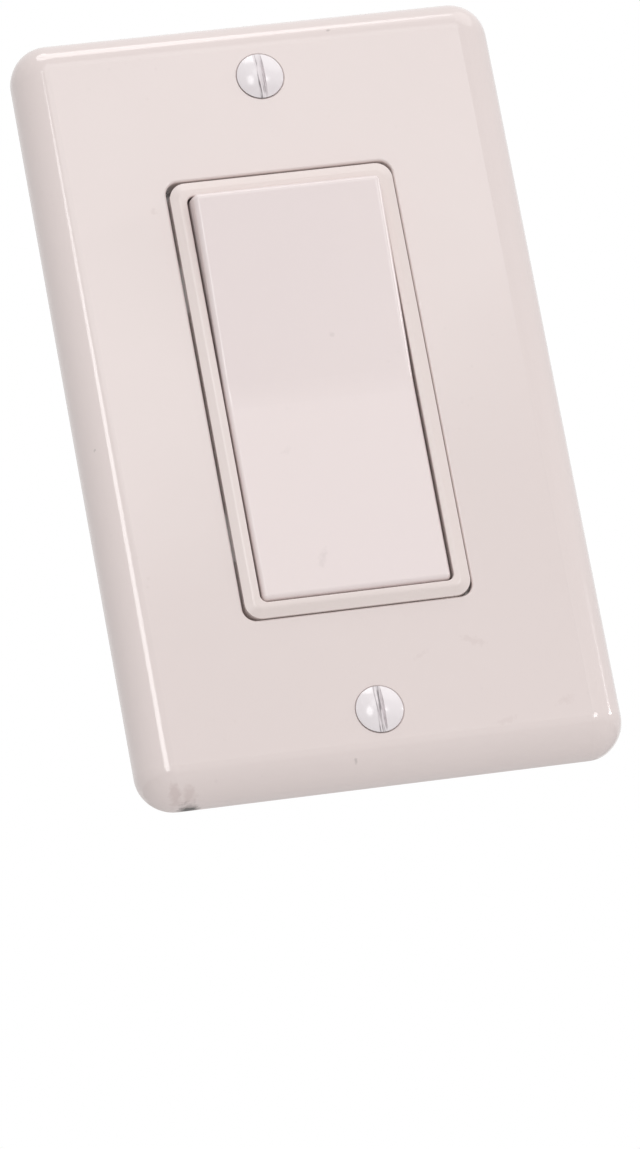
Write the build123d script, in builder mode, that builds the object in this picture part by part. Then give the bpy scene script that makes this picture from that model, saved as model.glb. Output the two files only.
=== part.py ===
from build123d import *
import os
from math import cos, radians, sin, sqrt, tan

os.makedirs("parts", exist_ok=True)

# A paddle wall switch in a one-gang cover plate, in millimetres.
# X runs to the right, Y into the wall and Z up. The origin is on the wall at the switch's centre.
# A "height" is a distance from the wall towards the room, a "depth" is a distance into the wall.

# Cover plate
plate_length = 116.0
plate_width = 70.6
plate_height = 6.0
plate_wall = 2.2
plate_corner_radius = 5.4
plate_edge_roll = 5.0
opening_width = 33.4
opening_length = 66.8
opening_corner_radius = 1.9
opening_shift_left = 0.1
opening_shift_up = 0.15
opening_edge_round = 0.35
opening_lip_wall = 1.6
opening_lip_height = 2.2
stiffener_thickness = 1.2
stiffener_spacing = 34.0
screw_boss_radius = 3.0
screw_boss_height = 1.5

# Cover plate screws
plate_screw_spacing = 96.84
plate_screw_head_radius = 3.4
plate_screw_dome = 0.95
plate_screw_head_angle = 82.0
plate_screw_length = 13.0
plate_screw_slot_width = 1.15
plate_screw_slot_depth = 1.25
screw_tip_chamfer = 0.4
plate_hole_radius = 2.0
countersink_rim = 0.2
machine_thread_radius = 1.75

# Front housing
housing_width = 32.8
housing_length = 66.3
housing_proud = 0.7
housing_corner_radius = 2.4
housing_crown_width = 1.4
housing_crown_drop = 0.5
housing_crown_blend = 1.5
housing_edge_round = 0.2
snap_leg_width = 7.0
snap_leg_thickness = 1.6
snap_leg_spacing = 38.0
snap_leg_depth = 9.0
snap_barb_reach = 0.8
snap_barb_length = 2.4

# Paddle
paddle_width = 27.6
paddle_length = 61.2
paddle_gap = 0.3
paddle_swing = 6.3
paddle_wall = 1.6
paddle_draft = 1.0
paddle_edge_round = 0.8
paddle_corner_round = 0.8
paddle_skirt_height = 1.05
paddle_fold_radius = 30.0
paddle_rib_thickness = 1.2
paddle_rib_spacing = 32.0
paddle_rib_height = 2.2
trunnion_radius = 1.0
trunnion_length = 1.3
trunnion_end_play = 0.15
running_clearance = 0.05

# Paddle post, plunger and spring
post_radius = 3.1
post_length = 11.5
post_bore_radius = 2.0
spring_seat_height = 1.5
plunger_radius = 1.94
plunger_guide_length = 6.0
plunger_nose_radius = 1.6
plunger_reach = 15.0
plunger_nose_length = 1.6
plunger_clearance = 0.06
spring_wire = 0.45
spring_turns = 6
spring_side_clearance = 0.05

# Mounting strap
strap_thickness = 1.2
strap_end_setback = 4.65
strap_width = 34.0
strap_waist_length = 72.0
strap_neck_width = 24.0
ear_width = 38.0
ear_length = 8.85
ear_corner_radius = 3.2
ear_hole_radius = 1.9
ear_hole_spacing = 31.0
ear_notch = 1.0
ear_notch_spacing = 25.4
strap_window_width = 11.0
strap_window_length = 15.0
box_screw_spacing = 83.34
box_slot_length = 8.0
box_slot_width = 3.9
ground_tab_width = 7.4
ground_tab_depth = 11.0
ground_tab_centre = -40.2
ground_screw_depth = 6.6

# Insulating sheet and back body
sheet_thickness = 0.8
sheet_edge_setback = 0.15
body_width = 33.0
body_length = 65.0
body_depth = 25.0
body_corner_radius = 2.0
body_edge_round = 1.2
body_floor = 2.0
bay_left_wall = 5.0
bay_right_wall = 4.5
bay_length = 34.0
end_pocket_length = 10.5
end_pocket_width = 23.0
end_pocket_depth = 20.0
back_panel_width = 18.0
back_panel_length = 36.0
back_panel_corner_radius = 1.5
back_panel_depth = 0.4
back_panel_shift = 3.0
strip_gauge_length = 16.0
strip_gauge_width = 2.4
strip_gauge_depth = 0.8
strip_gauge_shift = 11.5
leg_clearance = 0.2

# Rivets
rivet_spacing = 51.0
rivet_radius = 1.5
rivet_head_radius = 2.4
rivet_head_height = 0.7
rivet_tube_radius = 3.4
rivet_recess_radius = 3.0
rivet_recess_depth = 1.6

# Box screws and their retainers
box_screw_head_radius = 3.45
box_screw_head_height = 2.0
box_screw_length = 25.4
box_screw_neck_radius = 1.4
retainer_radius = 3.8
retainer_thickness = 0.8

# Contacts and terminals
bridge_swing = 16.6
bridge_half_length = 10.8
bridge_half_width = 3.5
bridge_front = 1.1
bridge_back = 0.5
bridge_wing_thickness = 1.0
bridge_hub_half_length = 3.4
bridge_groove_flare = 0.3
blade_thickness = 1.0
blade_cheek = 1.1
blade_cheek_rise = 1.5
blade_clearance = 0.08
bridge_side_clearance = 0.2
bridge_stop_clearance = 0.15
bridge_stop_half_length = 0.8
bridge_stop_width = 8.0
contact_radius = 2.0
contact_height = 0.8
contact_crown = 4.0
contact_offset = 9.0
contact_shank_radius = 1.0
contact_gap_closed = 0.08
terminal_thickness = 1.0
terminal_spacing = 19.0
terminal_plate_length = 12.6
terminal_front = 6.5
terminal_screw_depth = 13.0
terminal_window_length = 10.0
terminal_window_depth = 10.0
terminal_plate_depth = 13.0
terminal_arm_width = 8.0
line_arm_low = -2.5
line_arm_high = 6.5
terminal_screw_radius = 2.05
terminal_screw_head_radius = 4.2
terminal_screw_head_height = 2.4
terminal_screw_length = 6.6
wire_space = 2.2
ground_screw_half_flats = 3.95
ground_screw_head_height = 2.4
ground_screw_length = 8.5
ground_wire_space = 1.8

# Sizes that follow from the ones above
hinge_height = strap_thickness + trunnion_radius + running_clearance
housing_height = plate_height + housing_proud
paddle_rise = housing_height - hinge_height
half_swing = radians(paddle_swing / 2)
half_bridge_swing = radians(bridge_swing / 2)
paddle_sweep_radius = sqrt((paddle_length / 2) ** 2 + paddle_rise**2)
paddle_end_rise = paddle_length / 2 * sin(half_swing) + paddle_rise * cos(half_swing)
fold_rise = paddle_rise / cos(half_swing)
housing_opening_width = paddle_width + 2 * paddle_gap
trunnion_end = housing_opening_width / 2 + trunnion_length
strap_length = plate_length - 2 * strap_end_setback
body_front = sheet_thickness
body_back = body_front + body_depth
bay_back = body_back - body_floor
bay_left = -body_width / 2 + bay_left_wall
bay_right = body_width / 2 - bay_right_wall
pivot_depth = plunger_reach + plunger_nose_radius + plunger_clearance + bridge_front - hinge_height
contact_crown_rise = bridge_front - bridge_wing_thickness - contact_height + contact_crown
fixed_contact_front = (
    pivot_depth
    + contact_offset * sin(half_bridge_swing)
    - contact_crown_rise * cos(half_bridge_swing)
    + contact_crown
    + contact_gap_closed
)
fixed_contact_z = -contact_offset * cos(half_bridge_swing) - contact_crown_rise * sin(half_bridge_swing)
load_arm_front = fixed_contact_front + contact_height
strap_leg_notch = housing_width / 2 - snap_leg_thickness - leg_clearance


def front(height):
    """The plane parallel to the wall at a height, seen from the room: x to the right, y up."""
    return Plane.XZ.offset(height)


def facing(tilt, depth):
    """The plane facing the room at a depth, turned about X by tilt: x to the right, y along the piece."""
    return Plane(origin=(0, depth, 0), x_dir=(1, 0, 0), z_dir=(0, -cos(tilt), -sin(tilt)))


def side(tilt, depth):
    """The plane across the switch at a depth, turned about X by tilt: x along the piece, y outwards."""
    return Plane(origin=(0, depth, 0), x_dir=(0, -sin(tilt), cos(tilt)), z_dir=(1, 0, 0))


def level(z):
    """The horizontal plane at z: x to the right, y into the wall."""
    return Plane.XY.offset(z)


# Cover plate: one hollow moulding with a rolled edge, a lip round the opening and two screw bosses.
# The opening is a hair high and left of the housing, so the gap round the housing isn't even
roof_height = plate_height - plate_wall
with BuildPart() as wall_plate:
    with BuildSketch(front(0)):
        RectangleRounded(plate_width, plate_length, plate_corner_radius)
    extrude(amount=plate_height)
    fillet(wall_plate.faces().sort_by(Axis.Y)[0].edges(), plate_edge_roll)
    with BuildSketch(front(0)):
        RectangleRounded(
            plate_width - 2 * plate_wall, plate_length - 2 * plate_wall, plate_corner_radius - plate_wall
        )
    extrude(amount=roof_height, mode=Mode.SUBTRACT)
    roof = wall_plate.faces().filter_by(Axis.Y).sort_by(Axis.Y)[1]
    fillet(roof.edges(), plate_edge_roll - plate_wall)
    with BuildSketch(front(opening_lip_height)):
        with Locations((-opening_shift_left, opening_shift_up)):
            Rectangle(opening_width + 2 * opening_lip_wall, opening_length + 2 * opening_lip_wall)
        with GridLocations(0, stiffener_spacing, 1, 2):
            Rectangle(plate_width - 2 * plate_wall, stiffener_thickness)
    extrude(amount=roof_height - opening_lip_height)
    with BuildSketch(front(screw_boss_height)):
        with GridLocations(0, plate_screw_spacing, 1, 2):
            Circle(screw_boss_radius)
    extrude(amount=roof_height - screw_boss_height)
    with BuildSketch(front(0)):
        with Locations((-opening_shift_left, opening_shift_up)):
            RectangleRounded(opening_width, opening_length, opening_corner_radius)
    extrude(amount=plate_height, mode=Mode.SUBTRACT)
    opening_edges = wall_plate.faces().sort_by(Axis.Y)[0].inner_wires()[0].edges()
    fillet(opening_edges, opening_edge_round)
    with Locations(front(plate_height)):
        with GridLocations(0, plate_screw_spacing, 1, 2):
            CounterSinkHole(
                plate_hole_radius,
                plate_screw_head_radius + countersink_rim,
                counter_sink_angle=plate_screw_head_angle,
            )
wall_plate.part.label = "wall_plate"
export_step(wall_plate.part, "parts/wall_plate.step")

# Cover plate screws: slotted oval heads that sit in the plate's countersinks
screw_cone = (plate_screw_head_radius - machine_thread_radius) / tan(radians(plate_screw_head_angle / 2))
for label, up in (("upper_plate_screw", 1), ("lower_plate_screw", -1)):
    screw_z = up * plate_screw_spacing / 2
    with BuildPart() as plate_screw:
        with BuildSketch(level(screw_z)):
            with BuildLine():
                TangentArc(
                    (0, -plate_height - plate_screw_dome),
                    (plate_screw_head_radius, -plate_height),
                    tangent=(1, 0),
                )
                Polyline(
                    (plate_screw_head_radius, -plate_height),
                    (machine_thread_radius, screw_cone - plate_height),
                    (machine_thread_radius, plate_screw_length - plate_height),
                    (0, plate_screw_length - plate_height),
                    (0, -plate_height - plate_screw_dome),
                )
            make_face()
        revolve(axis=Axis((0, 0, screw_z), (0, 1, 0)))
        tip = plate_screw.faces().sort_by(Axis.Y)[-1]
        chamfer(tip.edges(), screw_tip_chamfer)
        with BuildSketch(front(plate_height + plate_screw_dome)):
            with Locations((0, screw_z)):
                Rectangle(plate_screw_slot_width, 2 * plate_screw_head_radius)
        extrude(amount=-plate_screw_slot_depth, mode=Mode.SUBTRACT)
    plate_screw.part.label = label
    export_step(plate_screw.part, f"parts/{label}.step")


def rocker_outline(rise, sweep, base):
    """The paddle seen from the side: a shallow V above base, with ends struck from the hinge."""
    reach = 1.1 * sweep
    with BuildSketch() as outline:
        with BuildLine():
            Polyline(
                (0, rise),
                (reach, rise + reach * tan(half_swing)),
                (reach, base),
                (-reach, base),
                (-reach, rise + reach * tan(half_swing)),
                close=True,
            )
        make_face()
        fillet(outline.vertices().sort_by_distance((0, rise))[0], paddle_fold_radius)
        Circle(sweep, mode=Mode.INTERSECT)
    return outline.sketch


# Paddle: a drafted shell with a folded face, side trunnions, ribs and a bored post behind the fold
paddle_face = facing(half_swing, -hinge_height)
paddle_side = side(half_swing, -hinge_height)


def stands_outward(edge):
    """True for the four corner edges between the paddle's sides and its ends."""
    return abs(edge.tangent_at(0.5).dot(paddle_face.z_dir)) > 0.9


def borders_face(edge):
    """True for the edges round the paddle's two front faces, without the soft fold between them."""
    middle = paddle_face.to_local_coords(edge.center())
    on_fold = abs(edge.tangent_at(0.5).X) > 0.9 and abs(middle.Y) < paddle_length / 4
    return middle.Z > paddle_rise - paddle_edge_round and not on_fold


with BuildPart() as rocker_paddle:
    with BuildSketch(paddle_face.offset(paddle_skirt_height)):
        Rectangle(paddle_width, 2.1 * paddle_sweep_radius)
    extrude(amount=2 * paddle_end_rise, taper=paddle_draft)
    with BuildSketch(paddle_side):
        add(rocker_outline(fold_rise, paddle_sweep_radius, paddle_skirt_height))
    extrude(amount=paddle_width, both=True, mode=Mode.INTERSECT)
    fillet(rocker_paddle.edges().filter_by(stands_outward), paddle_corner_round)
    fillet(rocker_paddle.edges().filter_by(borders_face), paddle_edge_round)
    with BuildSketch(paddle_side):
        add(rocker_outline(fold_rise - paddle_wall, paddle_sweep_radius - paddle_wall, 0))
    extrude(amount=paddle_width / 2 - paddle_wall, both=True, mode=Mode.SUBTRACT)
    with BuildSketch(paddle_face.offset(paddle_skirt_height)):
        Rectangle(paddle_width - paddle_wall, paddle_rib_thickness)
    extrude(amount=fold_rise - paddle_skirt_height - paddle_wall / 2)
    with BuildSketch(paddle_face.offset(paddle_rib_height)):
        with GridLocations(0, paddle_rib_spacing, 1, 2):
            Rectangle(paddle_width - paddle_wall, paddle_rib_thickness)
    extrude(amount=fold_rise - paddle_rib_height - paddle_wall / 2)
    with BuildSketch(paddle_face.offset(-post_length)):
        Circle(post_radius)
    extrude(amount=post_length + fold_rise - paddle_wall / 2)
    with BuildSketch(paddle_face.offset(-post_length)):
        Circle(post_bore_radius)
    extrude(amount=post_length + spring_seat_height, mode=Mode.SUBTRACT)
    for hand in (1, -1):
        with BuildSketch(paddle_side.offset(hand * (paddle_width / 2 - paddle_wall))):
            Circle(trunnion_radius)
            with Locations((0, paddle_skirt_height / 2)):
                Rectangle(2 * trunnion_radius, paddle_skirt_height)
        extrude(amount=hand * paddle_wall)
        with BuildSketch(paddle_side.offset(hand * (paddle_width / 2 - paddle_wall))):
            Circle(trunnion_radius)
        extrude(amount=hand * (paddle_wall + paddle_gap + trunnion_length))
rocker_paddle.part.label = "rocker_paddle"
export_step(rocker_paddle.part, "parts/rocker_paddle.step")

# Plunger: a round-nosed pin that slides in the paddle's post and rides on the contact bridge
plunger_top = plunger_reach - plunger_nose_length - plunger_guide_length
with BuildPart() as plunger:
    with BuildSketch(paddle_face.offset(-plunger_top)):
        Circle(plunger_radius)
    extrude(amount=-plunger_guide_length)
    with BuildSketch(paddle_face.offset(-plunger_top)):
        Circle(plunger_nose_radius)
    extrude(amount=-plunger_guide_length - plunger_nose_length)
    with Locations(paddle_face.offset(-plunger_reach)):
        Sphere(plunger_nose_radius)
plunger.part.label = "plunger"
export_step(plunger.part, "parts/plunger.step")

# Plunger spring: a coil between the bottom of the post's bore and the plunger
spring_radius = plunger_radius - spring_side_clearance - spring_wire / 2
spring_length = plunger_top + spring_seat_height - spring_wire - 2 * running_clearance
spring_start = paddle_face.offset(-plunger_top + spring_wire / 2 + running_clearance)
with BuildPart() as plunger_spring:
    with BuildLine() as coil:
        Helix(
            pitch=spring_length / spring_turns,
            height=spring_length,
            radius=spring_radius,
            center=spring_start.origin,
            direction=spring_start.z_dir,
        )
    with BuildSketch(Plane(coil.line @ 0, z_dir=coil.line % 0)):
        Circle(spring_wire / 2)
    sweep(path=coil.line, is_frenet=True)
plunger_spring.part.label = "plunger_spring"
export_step(plunger_spring.part, "parts/plunger_spring.step")


def is_opening_corner(edge):
    """True for the four edges in the corners of the housing's opening."""
    from_side = abs(abs(edge.center().X) - housing_opening_width / 2)
    return abs(edge.tangent_at(0.5).Y) > 0.9 and from_side < 0.01


# Front housing: the frame round the paddle, with a crowned rim, trunnion slots and four snap legs
leg_outer = housing_width / 2
leg_inner = leg_outer - snap_leg_thickness
leg_barb = leg_inner - snap_barb_reach
barb_front = snap_leg_depth - snap_barb_length
with BuildPart() as front_housing:
    with BuildSketch(front(strap_thickness)):
        RectangleRounded(housing_width, housing_length, housing_corner_radius)
    extrude(amount=housing_height - strap_thickness)
    rim = front_housing.faces().sort_by(Axis.Y)[0]
    chamfer(rim.edges(), housing_crown_width, housing_crown_drop, reference=rim)
    fillet(front_housing.faces().sort_by(Axis.Y)[0].edges(), housing_crown_blend)
    with BuildSketch(side(0, -hinge_height)):
        Circle(paddle_sweep_radius + paddle_gap)
        Rectangle(2.1 * paddle_sweep_radius, 2 * housing_height, mode=Mode.INTERSECT)
    extrude(amount=housing_opening_width / 2, both=True, mode=Mode.SUBTRACT)
    fillet(front_housing.edges().filter_by(is_opening_corner), paddle_corner_round + paddle_gap)
    crown = front_housing.faces().sort_by(Axis.Y)[0]
    fillet(crown.inner_wires()[0].edges(), housing_edge_round)
    with BuildSketch(side(0, -hinge_height)):
        Circle(trunnion_radius + running_clearance)
        with Locations((0, -hinge_height / 2)):
            Rectangle(2 * (trunnion_radius + running_clearance), hinge_height)
    extrude(amount=trunnion_end + trunnion_end_play, both=True, mode=Mode.SUBTRACT)
    for hand in (1, -1):
        for leg_z in (snap_leg_spacing / 2, -snap_leg_spacing / 2):
            with BuildSketch(level(leg_z - snap_leg_width / 2)):
                with BuildLine():
                    Polyline(
                        (hand * leg_outer, -strap_thickness),
                        (hand * leg_outer, snap_leg_depth),
                        (hand * leg_inner, snap_leg_depth),
                        (hand * leg_barb, barb_front + snap_barb_reach),
                        (hand * leg_barb, barb_front),
                        (hand * leg_inner, barb_front),
                        (hand * leg_inner, -strap_thickness),
                        close=True,
                    )
                make_face()
            extrude(amount=snap_leg_width)
front_housing.part.label = "front_housing"
export_step(front_housing.part, "parts/front_housing.step")

# Mounting strap: pressed steel with break-off ears, box screw slots, tapped holes and a ground tab
tab_left = -strap_neck_width / 2 - strap_thickness
with BuildPart() as mounting_strap:
    with BuildSketch(front(0)):
        Rectangle(strap_width, strap_waist_length)
        Rectangle(strap_neck_width, strap_length)
        with GridLocations(0, strap_length - ear_length, 1, 2):
            RectangleRounded(ear_width, ear_length, ear_corner_radius)
        Rectangle(strap_window_width, strap_window_length, mode=Mode.SUBTRACT)
        with GridLocations(0, plate_screw_spacing, 1, 2):
            Circle(machine_thread_radius + running_clearance, mode=Mode.SUBTRACT)
        with GridLocations(0, box_screw_spacing, 1, 2):
            SlotOverall(box_slot_length, box_slot_width, mode=Mode.SUBTRACT)
        with GridLocations(0, rivet_spacing, 1, 2):
            Circle(rivet_radius + running_clearance, mode=Mode.SUBTRACT)
        with GridLocations(ear_hole_spacing, strap_length - ear_length, 2, 2):
            Circle(ear_hole_radius, mode=Mode.SUBTRACT)
        with GridLocations(ear_notch_spacing, strap_length, 2, 2):
            Rectangle(ear_notch, ear_notch, rotation=45, mode=Mode.SUBTRACT)
        with GridLocations(2 * strap_leg_notch + strap_width, snap_leg_spacing, 2, 2):
            Rectangle(strap_width, snap_leg_width + 2 * leg_clearance, mode=Mode.SUBTRACT)
    extrude(amount=strap_thickness)
    with BuildSketch(level(ground_tab_centre - ground_tab_width / 2)):
        with BuildLine():
            Polyline(
                (tab_left + strap_thickness, 0),
                (tab_left + strap_thickness, ground_tab_depth),
                (tab_left, ground_tab_depth),
                (tab_left, 0),
            )
            TangentArc((tab_left, 0), (tab_left + strap_thickness, -strap_thickness), tangent=(0, -1))
            Line((tab_left + strap_thickness, -strap_thickness), (tab_left + strap_thickness, 0))
        make_face()
    extrude(amount=ground_tab_width)
    with BuildSketch(side(0, ground_screw_depth).offset(tab_left)):
        with Locations((ground_tab_centre, 0)):
            Circle(terminal_screw_radius + running_clearance)
    extrude(amount=strap_thickness, mode=Mode.SUBTRACT)
mounting_strap.part.label = "mounting_strap"
export_step(mounting_strap.part, "parts/mounting_strap.step")

# Insulating sheet: fibre between the strap and the live parts
with BuildPart() as insulating_sheet:
    with BuildSketch(front(-sheet_thickness)):
        RectangleRounded(
            body_width - 2 * sheet_edge_setback, body_length - 2 * sheet_edge_setback, body_corner_radius
        )
        Rectangle(strap_window_width, strap_window_length, mode=Mode.SUBTRACT)
        with GridLocations(0, rivet_spacing, 1, 2):
            Circle(rivet_radius + running_clearance, mode=Mode.SUBTRACT)
        with GridLocations(2 * strap_leg_notch + body_width, snap_leg_spacing, 2, 2):
            Rectangle(body_width, snap_leg_width + 2 * leg_clearance, mode=Mode.SUBTRACT)
    extrude(amount=sheet_thickness)
insulating_sheet.part.label = "insulating_sheet"
export_step(insulating_sheet.part, "parts/insulating_sheet.step")

# Back body: a moulded box with a contact bay, cored ends, rivet tubes and catches for the snap legs.
# Its back has a sunk panel, and a groove as long as the bare wire end that a terminal takes
bay_centre = (bay_left + bay_right) / 2
bay_width = bay_right - bay_left
stop_depth = (
    pivot_depth
    + (contact_offset + bridge_stop_half_length) * sin(half_bridge_swing)
    - (bridge_front - bridge_wing_thickness) * cos(half_bridge_swing)
    + bridge_stop_clearance
)
with BuildPart() as back_body:
    with BuildSketch(front(-body_back)):
        RectangleRounded(body_width, body_length, body_corner_radius)
    extrude(amount=body_depth)
    fillet(back_body.faces().sort_by(Axis.Y)[-1].edges(), body_edge_round)
    with BuildSketch(front(-bay_back)):
        with Locations((bay_centre, 0)):
            Rectangle(bay_width, bay_length)
    extrude(amount=bay_back - body_front, mode=Mode.SUBTRACT)
    with BuildSketch(front(-body_front)):
        with GridLocations(0, rivet_spacing, 1, 2):
            Rectangle(end_pocket_width, end_pocket_length)
            Circle(rivet_tube_radius, mode=Mode.SUBTRACT)
    extrude(amount=-end_pocket_depth, mode=Mode.SUBTRACT)
    with BuildSketch(front(-body_back)):
        with GridLocations(0, rivet_spacing, 1, 2):
            Circle(rivet_radius + running_clearance)
    extrude(amount=body_depth, mode=Mode.SUBTRACT)
    with BuildSketch(front(-body_back)):
        with GridLocations(0, rivet_spacing, 1, 2):
            Circle(rivet_recess_radius)
    extrude(amount=rivet_recess_depth, mode=Mode.SUBTRACT)
    with BuildSketch(front(-body_back)):
        with Locations((-back_panel_shift, 0)):
            RectangleRounded(back_panel_width, back_panel_length, back_panel_corner_radius)
    extrude(amount=back_panel_depth, mode=Mode.SUBTRACT)
    with BuildSketch(front(-body_back)):
        with Locations((strip_gauge_shift, 0)):
            SlotOverall(strip_gauge_length, strip_gauge_width, rotation=90)
    extrude(amount=strip_gauge_depth, mode=Mode.SUBTRACT)
    with BuildSketch(side(0, terminal_screw_depth).offset(body_width / 2)):
        with GridLocations(terminal_spacing, 0, 2, 1):
            Rectangle(terminal_window_length, terminal_window_depth)
    extrude(amount=-bay_right_wall, mode=Mode.SUBTRACT)
    for hand in (1, -1):
        for leg_z in (snap_leg_spacing / 2, -snap_leg_spacing / 2):
            with BuildSketch(level(leg_z - snap_leg_width / 2 - leg_clearance)):
                with BuildLine():
                    Polyline(
                        (hand * body_width, 0),
                        (hand * body_width, snap_leg_depth + leg_clearance),
                        (hand * (leg_barb - leg_clearance), snap_leg_depth + leg_clearance),
                        (hand * (leg_barb - leg_clearance), barb_front - running_clearance),
                        (hand * (leg_inner - leg_clearance), barb_front - running_clearance),
                        (hand * (leg_inner - leg_clearance), 0),
                        close=True,
                    )
                make_face()
            extrude(amount=snap_leg_width + 2 * leg_clearance, mode=Mode.SUBTRACT)
    with BuildSketch(front(-bay_back)):
        with Locations((0, contact_offset)):
            Rectangle(bridge_stop_width, 2 * bridge_stop_half_length)
    extrude(amount=bay_back - stop_depth)
    with BuildSketch(front(-bay_back)):
        with Locations((bay_centre, fixed_contact_z)):
            Rectangle(bay_width, terminal_arm_width)
    extrude(amount=bay_back - load_arm_front - terminal_thickness)
back_body.part.label = "back_body"
export_step(back_body.part, "parts/back_body.step")

# Rivets: steel pins that clamp the strap and the sheet to the back body
for label, up in (("upper_rivet", 1), ("lower_rivet", -1)):
    rivet_z = up * rivet_spacing / 2
    with BuildPart() as rivet:
        with BuildSketch(front(strap_thickness)):
            with Locations((0, rivet_z)):
                Circle(rivet_head_radius)
        extrude(amount=rivet_head_height)
        fillet(rivet.faces().sort_by(Axis.Y)[0].edges(), rivet_head_height / 2)
        with BuildSketch(front(strap_thickness)):
            with Locations((0, rivet_z)):
                Circle(rivet_radius)
        extrude(amount=-strap_thickness - body_back + rivet_recess_depth)
        with BuildSketch(front(rivet_recess_depth - body_back)):
            with Locations((0, rivet_z)):
                Circle(rivet_head_radius)
        extrude(amount=-rivet_head_height)
    rivet.part.label = label
    export_step(rivet.part, f"parts/{label}.step")

# Box screws: pan heads on the strap's face, each with an undercut neck and a fibre washer that keeps it in
for label, up in (("upper", 1), ("lower", -1)):
    screw_z = up * box_screw_spacing / 2
    with BuildPart() as box_screw:
        with BuildSketch(front(strap_thickness)):
            with Locations((0, screw_z)):
                Circle(box_screw_head_radius)
        extrude(amount=box_screw_head_height)
        fillet(box_screw.faces().sort_by(Axis.Y)[0].edges(), box_screw_head_height / 2)
        with BuildSketch(front(strap_thickness + box_screw_head_height)):
            with Locations((0, screw_z)):
                Rectangle(2 * box_screw_head_radius, plate_screw_slot_width)
        extrude(amount=-box_screw_head_height / 2, mode=Mode.SUBTRACT)
        with BuildSketch(front(strap_thickness)):
            with Locations((0, screw_z)):
                Circle(box_screw_neck_radius)
        extrude(amount=-box_screw_length)
        with BuildSketch(front(-retainer_thickness - running_clearance)):
            with Locations((0, screw_z)):
                Circle(machine_thread_radius)
        extrude(amount=strap_thickness + retainer_thickness + running_clearance - box_screw_length)
        tip = box_screw.faces().sort_by(Axis.Y)[-1]
        chamfer(tip.edges(), screw_tip_chamfer)
    box_screw.part.label = f"{label}_mounting_screw"
    export_step(box_screw.part, f"parts/{label}_mounting_screw.step")

    with BuildPart() as retainer:
        with BuildSketch(front(-retainer_thickness)):
            with Locations((0, screw_z)):
                Circle(retainer_radius)
                Circle(box_screw_neck_radius + running_clearance, mode=Mode.SUBTRACT)
        extrude(amount=retainer_thickness)
    retainer.part.label = f"{label}_screw_retainer"
    export_step(retainer.part, f"parts/{label}_screw_retainer.step")

# Line terminal: one bent brass strip, with a side plate for its screw and a cradle blade for the bridge
plate_inner = bay_right - terminal_thickness
line_arm_front = bay_back - terminal_thickness
cradle_half_width = bridge_half_width + bridge_side_clearance
line_arm_reach = cradle_half_width + blade_cheek
with BuildPart() as line_terminal:
    with BuildSketch(side(0, terminal_front).offset(plate_inner)):
        with BuildLine():
            Polyline(
                (terminal_spacing / 2 + terminal_plate_length / 2, 0),
                (terminal_spacing / 2 + terminal_plate_length / 2, -terminal_plate_depth),
                (line_arm_high, -terminal_plate_depth),
                (line_arm_high, terminal_front - bay_back),
                (terminal_spacing / 2 - terminal_plate_length / 2, terminal_front - bay_back),
                (terminal_spacing / 2 - terminal_plate_length / 2, 0),
                close=True,
            )
        make_face()
    extrude(amount=terminal_thickness)
    with BuildSketch(side(0, terminal_screw_depth).offset(plate_inner)):
        with Locations((terminal_spacing / 2, 0)):
            Circle(terminal_screw_radius + running_clearance)
    extrude(amount=terminal_thickness, mode=Mode.SUBTRACT)
    with BuildSketch(level(line_arm_low)):
        with Locations(((bay_right - line_arm_reach) / 2, bay_back - terminal_thickness / 2)):
            Rectangle(bay_right + line_arm_reach, terminal_thickness)
    extrude(amount=line_arm_high - line_arm_low)
    with BuildSketch(side(0, pivot_depth)):
        Circle(blade_thickness / 2)
        with Locations((0, (pivot_depth - line_arm_front) / 2)):
            Rectangle(blade_thickness, line_arm_front - pivot_depth)
    extrude(amount=cradle_half_width, both=True)
    with BuildSketch(level(-blade_thickness / 2)):
        with GridLocations(2 * cradle_half_width + blade_cheek, 0, 2, 1):
            with Locations((0, (line_arm_front + pivot_depth - blade_cheek_rise) / 2)):
                Rectangle(blade_cheek, line_arm_front - pivot_depth + blade_cheek_rise)
    extrude(amount=blade_thickness)
line_terminal.part.label = "line_terminal"
export_step(line_terminal.part, "parts/line_terminal.step")

# Load terminal: a bent brass strip with its side plate and an arm that carries the fixed contact
load_arm_back = load_arm_front + terminal_thickness
with BuildPart() as load_terminal:
    with BuildSketch(side(0, (terminal_front + load_arm_back) / 2).offset(plate_inner)):
        with Locations((-terminal_spacing / 2, 0)):
            Rectangle(terminal_plate_length, load_arm_back - terminal_front)
    extrude(amount=terminal_thickness)
    with BuildSketch(side(0, terminal_screw_depth).offset(plate_inner)):
        with Locations((-terminal_spacing / 2, 0)):
            Circle(terminal_screw_radius + running_clearance)
    extrude(amount=terminal_thickness, mode=Mode.SUBTRACT)
    with BuildSketch(front(-load_arm_back)):
        with Locations(((bay_right - terminal_arm_width / 2) / 2, fixed_contact_z)):
            Rectangle(bay_right + terminal_arm_width / 2, terminal_arm_width)
        with Locations((0, fixed_contact_z)):
            Circle(contact_shank_radius + running_clearance, mode=Mode.SUBTRACT)
    extrude(amount=terminal_thickness)
load_terminal.part.label = "load_terminal"
export_step(load_terminal.part, "parts/load_terminal.step")

# Fixed contact: a flat silver rivet in the load terminal's arm
with BuildPart() as fixed_contact:
    with BuildSketch(front(-load_arm_front)):
        with Locations((0, fixed_contact_z)):
            Circle(contact_radius)
    extrude(amount=contact_height)
    with BuildSketch(front(-load_arm_front)):
        with Locations((0, fixed_contact_z)):
            Circle(contact_shank_radius)
    extrude(amount=-terminal_thickness)
fixed_contact.part.label = "fixed_contact"
export_step(fixed_contact.part, "parts/fixed_contact.step")

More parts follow.
